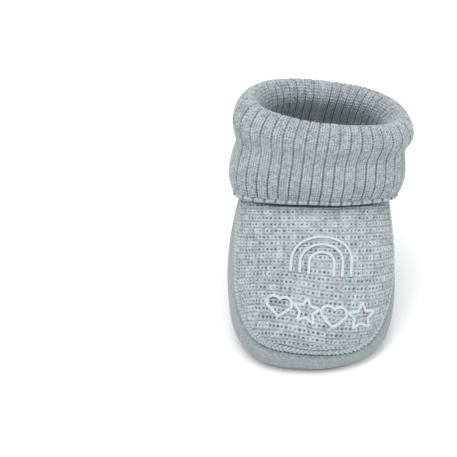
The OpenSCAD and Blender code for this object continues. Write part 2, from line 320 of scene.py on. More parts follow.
def makeMesh(name, points, quads, tris, maps, marks, rims=()):
    me = bpy.data.meshes.new(name)
    me.vertices.add(len(points))
    me.vertices.foreach_set("co", (slumped(points) * mm).astype(np.float32).ravel())
    corners = np.concatenate([quads.ravel(), tris.ravel()]).astype(np.int32)
    me.loops.add(len(corners))
    me.loops.foreach_set("vertex_index", corners)
    me.polygons.add(len(quads) + len(tris))
    starts = np.concatenate([np.arange(len(quads)) * 4, len(quads) * 4 + np.arange(len(tris)) * 3])
    me.polygons.foreach_set("loop_start", starts.astype(np.int32))
    me.update(calc_edges=True)
    me.shade_smooth()
    for key, flat in maps.items():
        me.uv_layers.new(name=key).data.foreach_set("uv", flat.astype(np.float32).ravel())
    for key, values in marks.items():
        me.attributes.new(key, "FLOAT", "POINT").data.foreach_set("value", values.astype(np.float32))
    # a rim is a sharp edge, so that its end face doesn't shade the cloth beside it
    ends = np.zeros(len(me.edges) * 2, np.int32)
    me.edges.foreach_get("vertices", ends)
    ends = ends.reshape(-1, 2)
    sharp = np.zeros(len(ends), bool)
    for rim in rims:
        onRim = np.zeros(len(points), bool)
        onRim[rim] = True
        sharp |= onRim[ends].all(1)
    me.attributes.new("sharp_edge", "BOOLEAN", "EDGE").data.foreach_set("value", sharp)
    ob = bpy.data.objects.new(name, me)
    scene.collection.objects.link(ob)
    return ob


def clothShell(name, shown, hidden, closed, flip, marks, knit=None):
    # a closed skin: the shown side is a fine grid, the hidden side a coarse one
    ni, nj = shown.shape[:2]
    ci, cj = hidden.shape[:2]
    front = np.arange(ni * nj).reshape(ni, nj)
    back = ni * nj + np.arange(ci * cj).reshape(ci, cj)
    quadsA, uvA = gridFaces(front, closed, flip)
    quadsB, uvB = gridFaces(back, closed, not flip)
    if closed:
        rims = [front[:, 0], front[:, -1], back[:, 0], back[:, -1]]
        strips = [zipLoops(rims[0], rims[2], not flip), zipLoops(rims[1], rims[3], flip)]
    else:
        rims = [edgeLoop(front), edgeLoop(back)]
        strips = [zipLoops(rims[0], rims[1], not flip)]
    tris = np.concatenate([s[0] for s in strips])
    low = [0.87, 0.89]
    triUv = np.concatenate([placed(s[1], low[k], low[k] + 0.01) for k, s in enumerate(strips)])
    bake = np.concatenate([placed(uvA, 0.01, 0.86).reshape(-1, 2), placed(uvB, 0.91, 0.99).reshape(-1, 2),
                           triUv.reshape(-1, 2)])
    maps = {"OFBake": bake}
    if knit is not None:
        own = [knitCorners(*k, closed, f).reshape(-1, 2) for k, f in zip(knit, (flip, not flip))]
        maps["knit"] = np.concatenate(own + [np.zeros((tris.size, 2))])
    points = np.concatenate([shown.reshape(-1, 3), hidden.reshape(-1, 3)])
    full = {key: np.r_[value.ravel(), np.full(ci * cj, 0.5)] for key, value in marks.items()}
    return makeMesh(name, points, np.concatenate([quadsA, quadsB]), tris, maps, full, rims)


def knitCorners(flat, around, straight, closed, flip):
    # a map in mm over a grid; the first straight rows are flat and don't run round
    ni, nj = flat.shape[:2]
    i, j = gridCorners(ni, nj, closed)
    uv = flat[i % ni, j]
    uv[..., 0] += np.where((i == ni) & (j[:, :1] >= straight), around, 0)
    if straight:
        # the row where the wall begins takes the wall's own numbers
        wall = (j[:, :1] == straight) & (j == straight)
        start = np.stack([i / ni * around, 0 * i], -1)
        uv = np.where(wall[..., None], start, uv)
    return uv[:, ::-1] if flip else uv


def plain(count):
    return {"cavity": np.ones(count), "stitch": np.full(count, 0.5)}


def tubeGrid(path, ups, sides, closed, shape):
    # rings of points round a path; shape gives across and up at each place and angle
    if closed:
        along = unit(np.roll(path, -1, 0) - np.roll(path, 1, 0))
    else:
        along = unit(np.gradient(path, axis=0))
    across = unit(np.cross(along, ups))
    up = np.cross(across, along)
    angle = np.linspace(0, 2 * np.pi, sides, endpoint=False)
    side, rise = shape(np.arange(len(path))[:, None], angle[None])
    return path[:, None] + across[:, None] * side[..., None] + up[:, None] * rise[..., None]


def tubesMesh(name, grids, closed, paintedShadeMasks=None):
    # several tubes in one piece, each with its own band of the bake's map
    points, quads, quadUv, tris, triUv, base = [], [], [], [], [], 0
    bands = len(grids)
    for k, grid in enumerate(grids):
        n, sides = grid.shape[:2]
        index = base + np.arange(n * sides).reshape(n, sides)
        i, j = gridCorners(n, sides + 1, closed)
        quads.append(index[i % n, j % sides][:, ::-1])
        uv = np.stack([i / (n if closed else n - 1), j / sides], -1)[:, ::-1]
        quadUv.append(placed(uv, (k + 0.05) / bands, (k + 0.8) / bands))
        points.append(grid.reshape(-1, 3))
        base += n * sides
        for end in () if closed else (0, -1):
            points.append(grid[end].mean(0, keepdims=True))
            loop = index[end]
            tri = np.stack([loop, np.roll(loop, -1), np.full(sides, base)], -1)
            turn = np.linspace(0, 2 * np.pi, sides + 1)
            x = 0.1 - 0.3 * end
            disc = np.stack([x + 0.05 * np.cos(turn), 0.5 + 0.45 * np.sin(turn)], -1)
            uv = np.stack([disc[:-1], disc[1:], np.tile([x, 0.5], (sides, 1))], 1)
            tris.append(tri if end == 0 else tri[:, ::-1])
            triUv.append(placed(uv if end == 0 else uv[:, ::-1], (k + 0.84) / bands, (k + 0.98) / bands))
            base += 1
    tris = np.concatenate(tris) if tris else np.zeros((0, 3), int)
    triUv = np.concatenate(triUv) if triUv else np.zeros((0, 3, 2))
    marks = plain(base)
    if paintedShadeMasks is not None:
        marks["cavity"][:len(paintedShadeMasks)] = paintedShadeMasks
    bake = np.concatenate([np.concatenate(quadUv).reshape(-1, 2), triUv.reshape(-1, 2)])
    return makeMesh(name, np.concatenate(points), np.concatenate(quads), tris, {"OFBake": bake}, marks)


def evenPath(points, closed, step):
    # the same line with points a step apart, of any number of columns
    if closed:
        points = np.concatenate([points, points[:1]])
    reach = lengthsAlong(points[:, :3])
    n = max(int(round(reach[-1] / step)), 8)
    want = np.linspace(0, reach[-1], n + 1)
    even = np.stack([np.interp(want, reach, points[:, k]) for k in range(points.shape[1])], -1)
    return even[:-1] if closed else even


print("surfaces ready")

# Materials. Every cloth here is heather yarn: light and dark fibres spun together,
# with painted shade between the stitches, and a slow drift between a greenish and a lilac grey.


def newGroup(name, inputs, outputs):
    group = bpy.data.node_groups.new(name, "ShaderNodeTree")
    for key, kind, value in inputs:
        socket = group.interface.new_socket(key, in_out="INPUT", socket_type=kind)
        socket.default_value = value
    for key, kind in outputs:
        group.interface.new_socket(key, in_out="OUTPUT", socket_type=kind)
    return group, group.nodes.new("NodeGroupInput"), group.nodes.new("NodeGroupOutput")


def addNode(tree, kind, **settings):
    node = tree.nodes.new(kind)
    for key, value in settings.items():
        setattr(node, key, value)
    return node


def noiseAt(tree, coords, scale, detail, rough=0.6):
    node = addNode(tree, "ShaderNodeTexNoise")
    node.inputs["Scale"].default_value = scale
    node.inputs["Detail"].default_value = detail
    node.inputs["Roughness"].default_value = rough
    tree.links.new(coords, node.inputs["Vector"])
    return node.outputs["Fac"]


def spread(tree, value, low, high, toLow=0.0, toHigh=1.0):
    node = addNode(tree, "ShaderNodeMapRange")
    tree.links.new(value, node.inputs["Value"])
    for key, number in (("From Min", low), ("From Max", high), ("To Min", toLow), ("To Max", toHigh)):
        node.inputs[key].default_value = number
    return node.outputs["Result"]


def blendColour(tree, fac, a, b, kind="MIX"):
    node = addNode(tree, "ShaderNodeMix", data_type="RGBA", blend_type=kind)
    for value, key in ((fac, 0), (a, 6), (b, 7)):
        if isinstance(value, (int, float, tuple)):
            node.inputs[key].default_value = value
        else:
            tree.links.new(value, node.inputs[key])
    return node.outputs[2]


def maths(tree, operation, a, b=0.0):
    node = addNode(tree, "ShaderNodeMath", operation=operation)
    for value, key in ((a, 0), (b, 1)):
        if isinstance(value, (int, float)):
            node.inputs[key].default_value = value
        else:
            tree.links.new(value, node.inputs[key])
    return node.outputs[0]


def makeHeather():
    group, given, out = newGroup("heatherYarn", [
        ("Light", "NodeSocketColor", (0.6, 0.6, 0.6, 1)),
        ("Dark", "NodeSocketColor", (0.3, 0.3, 0.3, 1)),
        ("Gap", "NodeSocketColor", (0.1, 0.1, 0.1, 1)),
        ("PaintedShadeMask", "NodeSocketFloat", 1.0),
        ("Stitch", "NodeSocketFloat", 0.5),
        ("Fleck", "NodeSocketFloat", 1.0),
    ], [("Color", "NodeSocketColor"), ("Height", "NodeSocketFloat")])
    place = addNode(group, "ShaderNodeTexCoord").outputs["Object"]
    fibre = noiseAt(group, place, 2600, 3, 0.7)
    fleck = noiseAt(group, place, 900, 2)
    drift = noiseAt(group, place, 95, 1)
    grain = spread(group, fibre, 0.34, 0.66)
    mottled = maths(group, "ADD", maths(group, "MULTIPLY", grain, 0.38),
                    maths(group, "MULTIPLY", spread(group, fleck, 0.38, 0.62), 0.3))
    share = maths(group, "ADD", mottled, maths(group, "MULTIPLY", given.outputs["Stitch"], 0.38))
    share = maths(group, "POWER", maths(group, "MINIMUM", share, 1.0), given.outputs["Fleck"])
    yarn = blendColour(group, share, given.outputs["Dark"], given.outputs["Light"])
    greenish, lilac = (0.955, 1.0, 0.985, 1), (1.02, 0.985, 1.015, 1)
    tint = blendColour(group, spread(group, drift, 0.35, 0.65), greenish, lilac)
    tinted = blendColour(group, 1.0, yarn, tint, "MULTIPLY")
    # the Gap colour is painted shade: where the mask falls towards 0 it darkens holes, furrows and thread
    # undersides
    seen = blendColour(group, given.outputs["PaintedShadeMask"], given.outputs["Gap"], tinted)
    group.links.new(seen, out.inputs["Color"])
    group.links.new(fibre, out.inputs["Height"])
    return group


heather = makeHeather()


def makeJersey():
    # rows of flat V stitches on a map measured in mm, with a mask of painted shade in their hollows
    group, given, out = newGroup("jerseyStitches", [
        ("Wale", "NodeSocketFloat", 1.4), ("Course", "NodeSocketFloat", 1.0),
    ], [("Height", "NodeSocketFloat"), ("PaintedShadeMask", "NodeSocketFloat")])
    place = addNode(group, "ShaderNodeUVMap", uv_map="knit").outputs["UV"]
    apart = addNode(group, "ShaderNodeSeparateXYZ")
    group.links.new(place, apart.inputs[0])
    across = maths(group, "FRACT", maths(group, "DIVIDE", apart.outputs[0], given.outputs["Wale"]))
    fromMid = maths(group, "ABSOLUTE", maths(group, "SUBTRACT", across, 0.5))
    leg = maths(group, "SINE", maths(group, "MULTIPLY", fromMid, 2 * math.pi))
    rows = maths(group, "DIVIDE", apart.outputs[1], given.outputs["Course"])
    slanted = maths(group, "ADD", rows, maths(group, "MULTIPLY", fromMid, 1.3))
    wave = maths(group, "SINE", maths(group, "MULTIPLY", slanted, 2 * math.pi))
    rope = maths(group, "MULTIPLY", maths(group, "ADD", maths(group, "MULTIPLY", wave, 0.3), 0.7), leg)
    group.links.new(rope, out.inputs["Height"])
    # a painted shade mask, low in the hollows between the stitch legs
    group.links.new(spread(group, rope, 0.0, 0.45), out.inputs["PaintedShadeMask"])
    return group


jersey = makeJersey()


def makeYarn(name, look):
    mat = bpy.data.materials.new(name)
    mat.use_nodes = True
    tree = mat.node_tree
    shader = tree.nodes["Principled BSDF"]
    shader.inputs["Roughness"].default_value = look["rough"]
    shader.inputs["Specular IOR Level"].default_value = look.get("gloss", 0.2)
    shader.inputs["Sheen Weight"].default_value = look["sheen"]
    shader.inputs["Sheen Roughness"].default_value = 0.45
    yarn = addNode(tree, "ShaderNodeGroup", node_tree=heather)
    for key in ("light", "dark", "gap"):
        yarn.inputs[key.capitalize()].default_value = (*look[key], 1)
    yarn.inputs["Fleck"].default_value = look.get("fleck", 1.0)
    # the mesh's mask of painted shade, 1 where none is painted
    cavity = addNode(tree, "ShaderNodeAttribute", attribute_name="cavity").outputs["Fac"]
    stitch = addNode(tree, "ShaderNodeAttribute", attribute_name="stitch").outputs["Fac"]
    tree.links.new(stitch, yarn.inputs["Stitch"])
    bump = addNode(tree, "ShaderNodeBump")
    bump.inputs["Strength"].default_value = look.get("fuzz", 0.5)
    bump.inputs["Distance"].default_value = 0.12 * mm
    tree.links.new(yarn.outputs["Height"], bump.inputs["Height"])
    if "wale" in look:
        knit = addNode(tree, "ShaderNodeGroup", node_tree=jersey)
        knit.inputs["Wale"].default_value = look["wale"]
        knit.inputs["Course"].default_value = look["course"]
        relief = addNode(tree, "ShaderNodeBump")
        relief.inputs["Strength"].default_value = 0.8
        relief.inputs["Distance"].default_value = look["depth"] * mm
        tree.links.new(knit.outputs["Height"], relief.inputs["Height"])
        tree.links.new(relief.outputs["Normal"], bump.inputs["Normal"])
        # painted shade in the jersey's hollows, on top of their bump
        shade = spread(tree, knit.outputs["PaintedShadeMask"], 0, 1, 1 - look["shade"], 1)
        cavity = maths(tree, "MULTIPLY", cavity, shade)
    tree.links.new(cavity, yarn.inputs["PaintedShadeMask"])
    tree.links.new(yarn.outputs["Color"], shader.inputs["Base Color"])
    tree.links.new(bump.outputs["Normal"], shader.inputs["Normal"])
    return mat


looks = {
    "banded_knit": {"light": (0.62, 0.67, 0.69), "dark": (0.22, 0.25, 0.265), "gap": (0.10, 0.115, 0.12),
                    "rough": 0.92, "sheen": 0.2},
    "rib_knit": {"light": (0.57, 0.62, 0.64), "dark": (0.19, 0.22, 0.235), "gap": (0.09, 0.105, 0.11),
                 "rough": 0.92, "sheen": 0.2},
    # the wrap's colours are set darker than the panel's yarn as painted shade on the lower band
    "plain_knit": {"light": (0.39, 0.43, 0.44), "dark": (0.20, 0.23, 0.235), "gap": (0.10, 0.115, 0.115),
                   "rough": 0.95, "sheen": 0.2, "wale": 1.35, "course": 0.95, "depth": 0.16, "shade": 0.35},
    "lining_jersey": {"light": (0.46, 0.50, 0.51), "dark": (0.31, 0.34, 0.35), "gap": (0.14, 0.16, 0.16),
                      "rough": 0.95, "sheen": 0.15, "wale": 1.1, "course": 0.8, "depth": 0.12, "shade": 0.3},
    "seam_yarn": {"light": (0.54, 0.59, 0.60), "dark": (0.25, 0.28, 0.29), "gap": (0.14, 0.16, 0.16),
                  "rough": 0.9, "sheen": 0.2},
    "wadding": {"light": (0.86, 0.86, 0.84), "dark": (0.70, 0.70, 0.68), "gap": (0.4, 0.4, 0.39),
                "rough": 0.98, "sheen": 0.3, "fuzz": 0.9},
    "embroidery_thread": {"light": (0.59, 0.64, 0.66), "dark": (0.42, 0.46, 0.48), "gap": (0.22, 0.25, 0.26),
                          "rough": 0.6, "sheen": 0.3, "gloss": 0.45, "fuzz": 0.2, "fleck": 0.6},
}
yarns = {name: makeYarn(name, look) for name, look in looks.items()}
print("materials ready")


def finishPiece(ob, slotName, *nodes):
    ob.data.materials.append(yarns[slotName])
    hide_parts(*nodes)
    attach(ob, "root")
    return ob


# The front panel: bands of raised stitches that run across the foot, with a row of
# little holes down the middle of each band and a thin line between bands.
panel = {
    "columns": 320, "rows": 288, "step": 8,
    "band": 3.05, "hole": 1.8,  # mm from band to band, and from hole to hole
    "tilt": 30.0,  # degrees that the bands' planes lean back
    "swell": 0.36, "holeDepth": 0.8, "lineDepth": 0.34, "twist": 0.14,
    "holeWide": 0.42, "holeTall": 0.36, "lineWide": 0.26,
    "ropeAt": 0.82, "ropeWide": 0.42, "bar": 0.12, "uneven": 0.12,
    "thick": 1.8, "edge": 1.1,  # the edge sinks beside the seam
}


def bandRelief(x, b):
    row = np.floor(b / panel["band"])
    w = b / panel["band"] - row
    u = x / panel["hole"] + 0.12 * (scatter(row, 0 * row, 3) - 0.5)
    col = np.floor(u)
    f = u - col + 0.16 * (scatter(col, row, 5) - 0.5)
    size = 0.75 + 0.5 * scatter(col, row, 7)
    fromMid = (w - 0.5) * panel["band"] + 0.12 * (scatter(col, row, 9) - 0.5)
    hole = bell((f - 0.5) * panel["hole"], panel["holeWide"] * size)
    hole = hole * bell(fromMid, panel["holeTall"] * size) * size
    line = bell(np.minimum(w, 1 - w) * panel["band"], panel["lineWide"])
    line = line * (0.65 + 0.5 * scatter(col, row + (w > 0.5), 11))
    rope = bell(np.abs(fromMid) - panel["ropeAt"], panel["ropeWide"])
    strand = np.cos(2 * np.pi * (u * 2 + np.sign(fromMid) * (np.abs(fromMid) - 0.8) * 0.9))
    bar = bell(fromMid, 0.6) * np.cos(2 * np.pi * f) * panel["bar"]
    h = panel["swell"] * np.sin(np.pi * w) ** 0.5 + bar + panel["twist"] * rope * strand
    h = h - panel["holeDepth"] * hole - panel["lineDepth"] * line
    h = h + panel["uneven"] * (scatter(col, row, 13) - 0.5) * rope
    # painted shade in the holes, in the lines between bands and between the rope's strands
    cavity = 1 - np.clip(0.95 * hole + 0.4 * line + 0.12 * (1 - strand) * rope, 0, 1)
    return h, cavity, scatter(col, row, 15)


def panelBillow(x, b):
    return 0.35 * ripple(x, b, 17, 23) + 0.2 * ripple(x, b, 7, 25)


def bandPlace(y, z):
    # how far up the middle line a point's band lies, where bands are straight across
    up, back = cosD(panel["tilt"]), sinD(panel["tilt"])
    middle = bezier(frontCurve, curveT)
    high = middle[:, 0] * back + middle[:, 1] * up
    here = y * back + z * up
    return np.interp(here, high, curveLength) + np.minimum(here - high[0], 0) * 1.6


def makePanel():
    ni, nj = panel["columns"] + 1, panel["rows"] + 1
    inS, inT = 1 - foot["slot"] / 45, foot["slot"] / frontLength
    s, t = np.meshgrid(np.linspace(-inS, inS, ni), np.linspace(inT, 1 - inT, nj), indexing="ij")
    base = frontSurface(s, t)
    steps = np.linalg.norm(np.diff(base, axis=0), axis=-1)
    x = np.concatenate([np.zeros((1, nj)), np.cumsum(steps, 0)])
    b = t * frontLength
    rim = np.minimum(np.minimum(x, x[-1] - x), np.minimum(b - b.min(), b.max() - b))
    x = x - x[ni // 2]
    place = bandPlace(base[..., 1], base[..., 2]) + 0.25 * ripple(x, b, 14, 21)
    relief, cavity, stitch = bandRelief(x, place)
    fade = soft(rim / 0.9)
    lift = (relief - 0.25) * (0.35 + 0.65 * fade) + panelBillow(base[..., 0], b) * fade
    lift = lift - panel["edge"] * bell(rim, 0.75)
    k = panel["step"]
    hidden = liftedFrom(frontCloth, s[::k, ::k], t[::k, ::k], -panel["thick"])
    shown = liftedFrom(frontCloth, s, t, lift)
    # more painted shade near the rim, where the edge sinks beside the seam
    marks = {"cavity": cavity * (0.45 + 0.55 * soft(rim / 0.7)), "stitch": stitch}
    ob = clothShell("frontPanelKnit", shown, hidden, False, False, marks)
    return finishPiece(ob, "banded_knit", "front_panel")


makePanel()
print("front panel knitted")

# The rib cuff: ribs of two wales with a thin uneven furrow between them, sewn on at the
# ankle, up to the fold and down again outside. Its four pieces meet in furrows.
rib = {
    "ribs": 44, "perRib": 18, "rows": 270, "sectors": 4, "step": 6, "course": 1.1,
    "ridge": 0.28, "furrow": 0.4, "furrowWide": 0.26, "stitch": 0.16, "thick": 2.2,
    "ribWide": 4.3, "crown": 0.16, "pit": 0.14, "legs": 4,  # two wales of two legs
    "crest": 0.5, "mouth": 0.35,  # places along the cuff, from its seam at 0 to its edge at 1
    "crease": 0.755, "creaseDepth": 1.1, "puff": 0.87, "puffHeight": 0.55,
}


def ribRelief(q, y, v):
    # q counts ribs round the cuff, with a furrow at each whole number; y is mm along it
    col = np.floor(q)
    f = q - col
    span = (f - 0.06) / 0.88
    inRib = (span > 0) & (span < 1)
    leg = np.clip(np.floor(span * rib["legs"]), 0, rib["legs"] - 1)
    inLeg = np.clip(span * rib["legs"] - leg, 0, 1)
    lean = np.where(leg % 2 == 0, 1, -1)
    ridge = np.where(inRib, np.sin(np.pi * inLeg) ** 0.8, 0)
    phase = y / rib["course"] + lean * (inLeg - 0.5) * 0.45 + 0.25 * scatter(col, leg, 31)
    row = np.floor(phase)
    wave = np.cos(2 * np.pi * (phase - row))
    gap = np.where(inRib, bell(np.minimum(inLeg, 1 - inLeg), 0.16), 1)
    pit = gap * (0.5 - 0.5 * wave)
    strength = 0.6 + 0.45 * ripple(np.round(q) * 3.7, y, 9, 33) + 0.3 * ripple(np.round(q) * 5.3, y, 3, 39)
    strength = np.clip(strength, 0.1, 1) * (1 - 0.8 * bell(v - rib["crest"], 0.08))
    furrow = bell(np.minimum(f, 1 - f) * rib["ribWide"], rib["furrowWide"]) * strength
    crown = rib["crown"] * np.sin(np.pi * np.clip(span, 0, 1)) ** 0.6
    h = crown + rib["ridge"] * ridge + rib["stitch"] * wave * ridge - rib["pit"] * pit
    h = h - rib["furrow"] * furrow + 0.1 * (scatter(col * rib["legs"] + leg, row, 35) - 0.5) * ridge
    # painted shade in the pits between rows, the gaps between legs and the furrows between ribs
    cavity = 1 - np.clip(0.4 * pit + 0.2 * gap + 0.5 * furrow + 0.08 * (1 - wave), 0, 1)
    return h, cavity, scatter(col * rib["legs"] + leg, row, 37)


def cuffBillow(turn, v):
    # the soft dents and rolls of a cuff that was turned down by hand
    x, y = 14 * np.cos(turn) + 40, 14 * np.sin(turn) + 40
    roll = 0.55 * ripple(x + 6 * v, y, 9, 41) + 0.3 * ripple(x, y + 9 * v, 4, 43)
    wander = v - 0.02 * np.sin(3 * turn + 1)
    crease = -rib["creaseDepth"] * bell(wander - rib["crease"], 0.035) * (0.7 + 0.5 * ripple(x, y, 8, 45))
    puff = rib["puffHeight"] * bell(wander - rib["puff"], 0.06)
    return roll * soft((v - rib["mouth"]) / 0.2) + crease + puff


def makeCuff():
    n = rib["ribs"] * rib["perRib"]
    angles = evenAngles(n, lambda a: cuffSurface(a, 0.8 + 0 * a))[0]
    fine = np.linspace(0, 1, 401)
    reach = lengthsAlong(cuffSurface(90 + 0 * fine, fine))
    per = n // rib["sectors"]
    k = rib["step"]
    for part in range(rib["sectors"]):
        i, v = np.meshgrid(np.arange(per + 1) + part * per, np.linspace(0, 1, rib["rows"] + 1), indexing="ij")
        a = angles[i % n] + 360.0 * (i >= n)
        along = np.interp(v, fine, reach)
        turn = 2 * np.pi * i / n
        relief, cavity, stitch = ribRelief(i / rib["perRib"], along, v)
        rim = np.minimum(along, reach[-1] - along)
        lift = -(rib["thick"] / 2 - 0.3 + relief + cuffBillow(turn, v)) + 0.5 * bell(rim, 1.0)
        shown = liftedFrom(cuffCloth, a, v, lift)
        inner = rib["thick"] / 2 - 0.8 * cuffBillow(turn, v)[::k, ::k]
        hidden = liftedFrom(cuffCloth, a[::k, ::k], v[::k, ::k], inner)
        marks = {"cavity": cavity, "stitch": stitch}
        ob = clothShell(f"ribCuffKnit{part + 1}", shown, hidden, False, True, marks)
        finishPiece(ob, "rib_knit", "rib_cuff")


makeCuff()
print("cuff knitted")

# The wrap: plain jersey that runs round the toe, sides and heel and under the foot.
wrap = {
    "columns": 480, "rows": 96, "step": 6, "thick": 1.8,
    "pucker": 0.22, "puckerEvery": 4.2, "tuck": 0.9,
}
floorRows = {"fine": 16, "coarse": 2, "stepUp": 8}  # rows of a cup's floor, and its wall's coarser step
lining = {"depth": 2.4, "thick": 1.2, "floor": 5.1, "columns": 240, "rows": 64, "step": 4}


def wrapSide(a, v, depth, low, puckered=False):
    # a cup's wall under the wrap's surface, which stands on a floor of height low
    tall = np.linalg.norm(wrapSurface(a, 1 + 0 * v) - wrapSurface(a, 0 * v), axis=-1)
    h = v * (1 - foot["slot"] / tall)
    lift = np.full(h.shape, -float(depth))
    if puckered:
        below, around = (1 - v) * tall, a * 0.75
        gather = np.cos(2 * np.pi * around / wrap["puckerEvery"] + 1.5 * ripple(around, 0 * a, 9, 51))
        lift = lift + wrap["pucker"] * gather * np.exp(-below / 3) - wrap["tuck"] * bell(below, 0.9)
        lift = lift + 0.4 * ripple(around, h * tall, 19, 53) * soft(v * 4) * soft(below / 4)
    # the surface has no normal on the ground itself, so the wall starts just above it
    p = liftedFrom(wrapCloth, a, h + 0.02 * (1 - v), lift)
    ground = outline(a, foot["under"] + 0.6 * depth)
    onGround = v <= 0
    return join(np.where(onGround, ground[..., 0], p[..., 0]), np.where(onGround, ground[..., 1], p[..., 1]),
                np.where(onGround, low, np.maximum(p[..., 2], low + 0.02 * v)))


def cupGrid(angles, rows, passes, depth, low, puckered):
    # the wall of a cup with its floor, which closes round a point too small to see
    a, v = np.meshgrid(angles, np.linspace(0, 1, rows + 1), indexing="ij")
    wall = wrapSide(a, v, depth, low, puckered)
    middle = np.array([0.0, wideY, low])
    share = np.linspace(0.002, 1, passes + 1)[:-1]
    floor = middle + (wall[:, :1] - middle) * share[None, :, None]
    grid = np.concatenate([floor, wall], 1)
    up = np.cumsum(np.linalg.norm(np.diff(wall, axis=1), axis=-1), 1)
    around = lengthsAlong(np.concatenate([wall[:, rows // 3], wall[:1, rows // 3]]))
    side = np.stack(np.broadcast_arrays(around[:-1, None], np.concatenate([0 * up[:, :1], up], 1)), -1)
    flat = np.concatenate([floor[..., :2], side], 1)
    flat[:, passes] = wall[:, 0, :2]
    return grid, (flat, around[-1], passes)


def makeCup(name, spec, depth, low, showInside, slotName, node):
    angles = evenAngles(spec["columns"], lambda a: outline(a, 0))[0]
    fineAt = (angles, spec["rows"], floorRows["fine"])
    coarseAt = (angles[::spec["step"]], spec["rows"] // floorRows["stepUp"], floorRows["coarse"])
    outer = (depth, low, not showInside)
    inner = (depth + spec["thick"], low + spec["thick"], False)
    shown, knitShown = cupGrid(*fineAt, *(inner if showInside else outer))
    hidden, knitHidden = cupGrid(*coarseAt, *(outer if showInside else inner))
    ob = clothShell(name, shown, hidden, True, showInside, plain(shown.shape[0] * shown.shape[1]),
                    (knitShown, knitHidden))
    return finishPiece(ob, slotName, node)


def frontLayer(name, inS, lowT, highT, depth, thick, slotName, node):
    # a thin cloth under the front panel, seen from inside the foot
    k = 8
    s, t = np.meshgrid(np.linspace(-inS, inS, 97), np.linspace(lowT, highT, 81), indexing="ij")
    shown = liftedFrom(frontCloth, s, t, -depth - thick)
    hidden = liftedFrom(frontCloth, s[::k, ::k], t[::k, ::k], -depth)
    flat = np.stack([s * 40, t * frontLength], -1)
    knit = ((flat, 0, 0), (flat[::k, ::k], 0, 0))
    ob = clothShell(name, shown, hidden, False, True, plain(s.size), knit)
    return finishPiece(ob, slotName, node)


makeCup("wrapKnit", wrap, 0, 0, False, "plain_knit", "lower_wrap")
print("wrap knitted")
makeCup("liningLowerKnit", lining, lining["depth"], lining["floor"], True, "lining_jersey", "lining_lower")
frontLayer("liningFrontKnit", 0.93, 0.035, 0.925, lining["depth"], lining["thick"],
           "lining_jersey", "lining_front")
frontLayer("embroideryBacking", 0.5, 0.16, 0.84, 1.95, 0.3, "wadding", "embroidery_backing")


insole = {
    "columns": 192, "inset": 1.0,  # mm inside the ground outline
    "middle": 3.45, "edge": 0.15, "crown": 1.35, "quilt": 0.12, "fill": 0.5,
}


def makeInsole():
    # a quilted pad whose top is crowned and whose edge is rounded
    inset = foot["under"] + insole["inset"]
    angles = evenAngles(insole["columns"], lambda a: outline(a, inset))[0]
    share = np.r_[np.linspace(0.003, 0.86, 25), np.linspace(0.88, 1, 8)]
    edge = outline(angles, inset)[:, None]
    plan = join(0.0, wideY) + (edge - join(0.0, wideY)) * share[None, :, None]
    bulge = insole["edge"] + insole["crown"] * (1 - share**14) ** 0.5
    quilt = insole["quilt"] * ripple(plan[..., 0], plan[..., 1], 11, 61)
    top = join(plan[..., 0], plan[..., 1], insole["middle"] + bulge * (0.96 + quilt * 0.3))
    low = join(plan[..., 0], plan[..., 1], insole["middle"] - bulge)
    ob = clothShell("insolePad", top, low[::6, ::8], True, True, plain(top.shape[0] * top.shape[1]))
    return finishPiece(ob, "wadding", "insole_pad")


makeInsole()
print("linings and insole ready")

# Seams are linked with three strands of yarn laid over one another in a plait.
seams = {
    "frontPanelSeam": {"sway": 0.95, "yarn": 0.55, "pitch": 5.0, "step": 0.3, "depth": 0.2},
    "ankleSeam": {"sway": 0.62, "yarn": 0.46, "pitch": 4.0, "step": 0.35},
    "cuffBackSeam": {"sway": 0.22, "yarn": 0.2, "pitch": 2.4, "step": 0.2},
    "heelSeam": {"sway": 0.32, "yarn": 0.26, "pitch": 2.4, "step": 0.2},
    "liningSeam": {"sway": 0.3, "yarn": 0.26, "pitch": 2.4, "step": 0.3},
}


def makePlait(name, path, ups, closed, node):
    spec = seams[name]
    both = evenPath(np.concatenate([path, ups], 1), closed, spec["step"])
    line, up = both[:, :3], unit(both[:, 3:])
    n = len(line)
    turns = round(n * spec["step"] / spec["pitch"])
    along = unit(np.roll(line, -1, 0) - np.roll(line, 1, 0)) if closed else unit(np.gradient(line, axis=0))
    across = unit(np.cross(along, up))
    up = np.cross(across, along)
    at = np.arange(n) / n * turns
    grids = []
    for k in range(3):
        phase = 2 * np.pi * (at + k / 3)
        strand = line + across * (spec["sway"] * np.sin(phase))[:, None]
        strand = strand + up * (0.5 * spec["sway"] * np.sin(2 * phase))[:, None]
        uneven = 1 + 0.12 * (scatter(np.floor(at * 3), 0 * at + k, 71) - 0.5)

        def ply(i, angle, uneven=uneven):
            r = spec["yarn"] * uneven[i] * (1 + 0.09 * np.cos(2 * (angle + i * spec["step"] * 2.6)))
            return r * np.sin(angle), r * np.cos(angle)
        grids.append(tubeGrid(strand, up, 10, closed, ply))
    ob = tubesMesh(name, grids, closed)
    return finishPiece(ob, "seam_yarn", node)


def seamPlaces():
    x = np.linspace(-0.93, 0.93, 41)
    t = np.linspace(0.96, 0.025, 90)
    s = np.r_[-1 + 0 * t, np.degrees(np.arcsin(x)) / 90, 1 + 0 * t]
    return s, np.r_[t, 0 * x, t[::-1]]


def softened(path, times):
    for _ in range(times):
        path[1:-1] = (path[:-2] + 2 * path[1:-1] + path[2:]) / 4
    return path


def panelSeam(name, depth, node):
    s, t = seamPlaces()
    path = softened(liftedFrom(frontCloth, s, t, -depth), 12)
    ups = softened(normalOf(frontSurface, s, t, 0.01, 0.01), 12)
    return makePlait(name, path, ups, False, node)


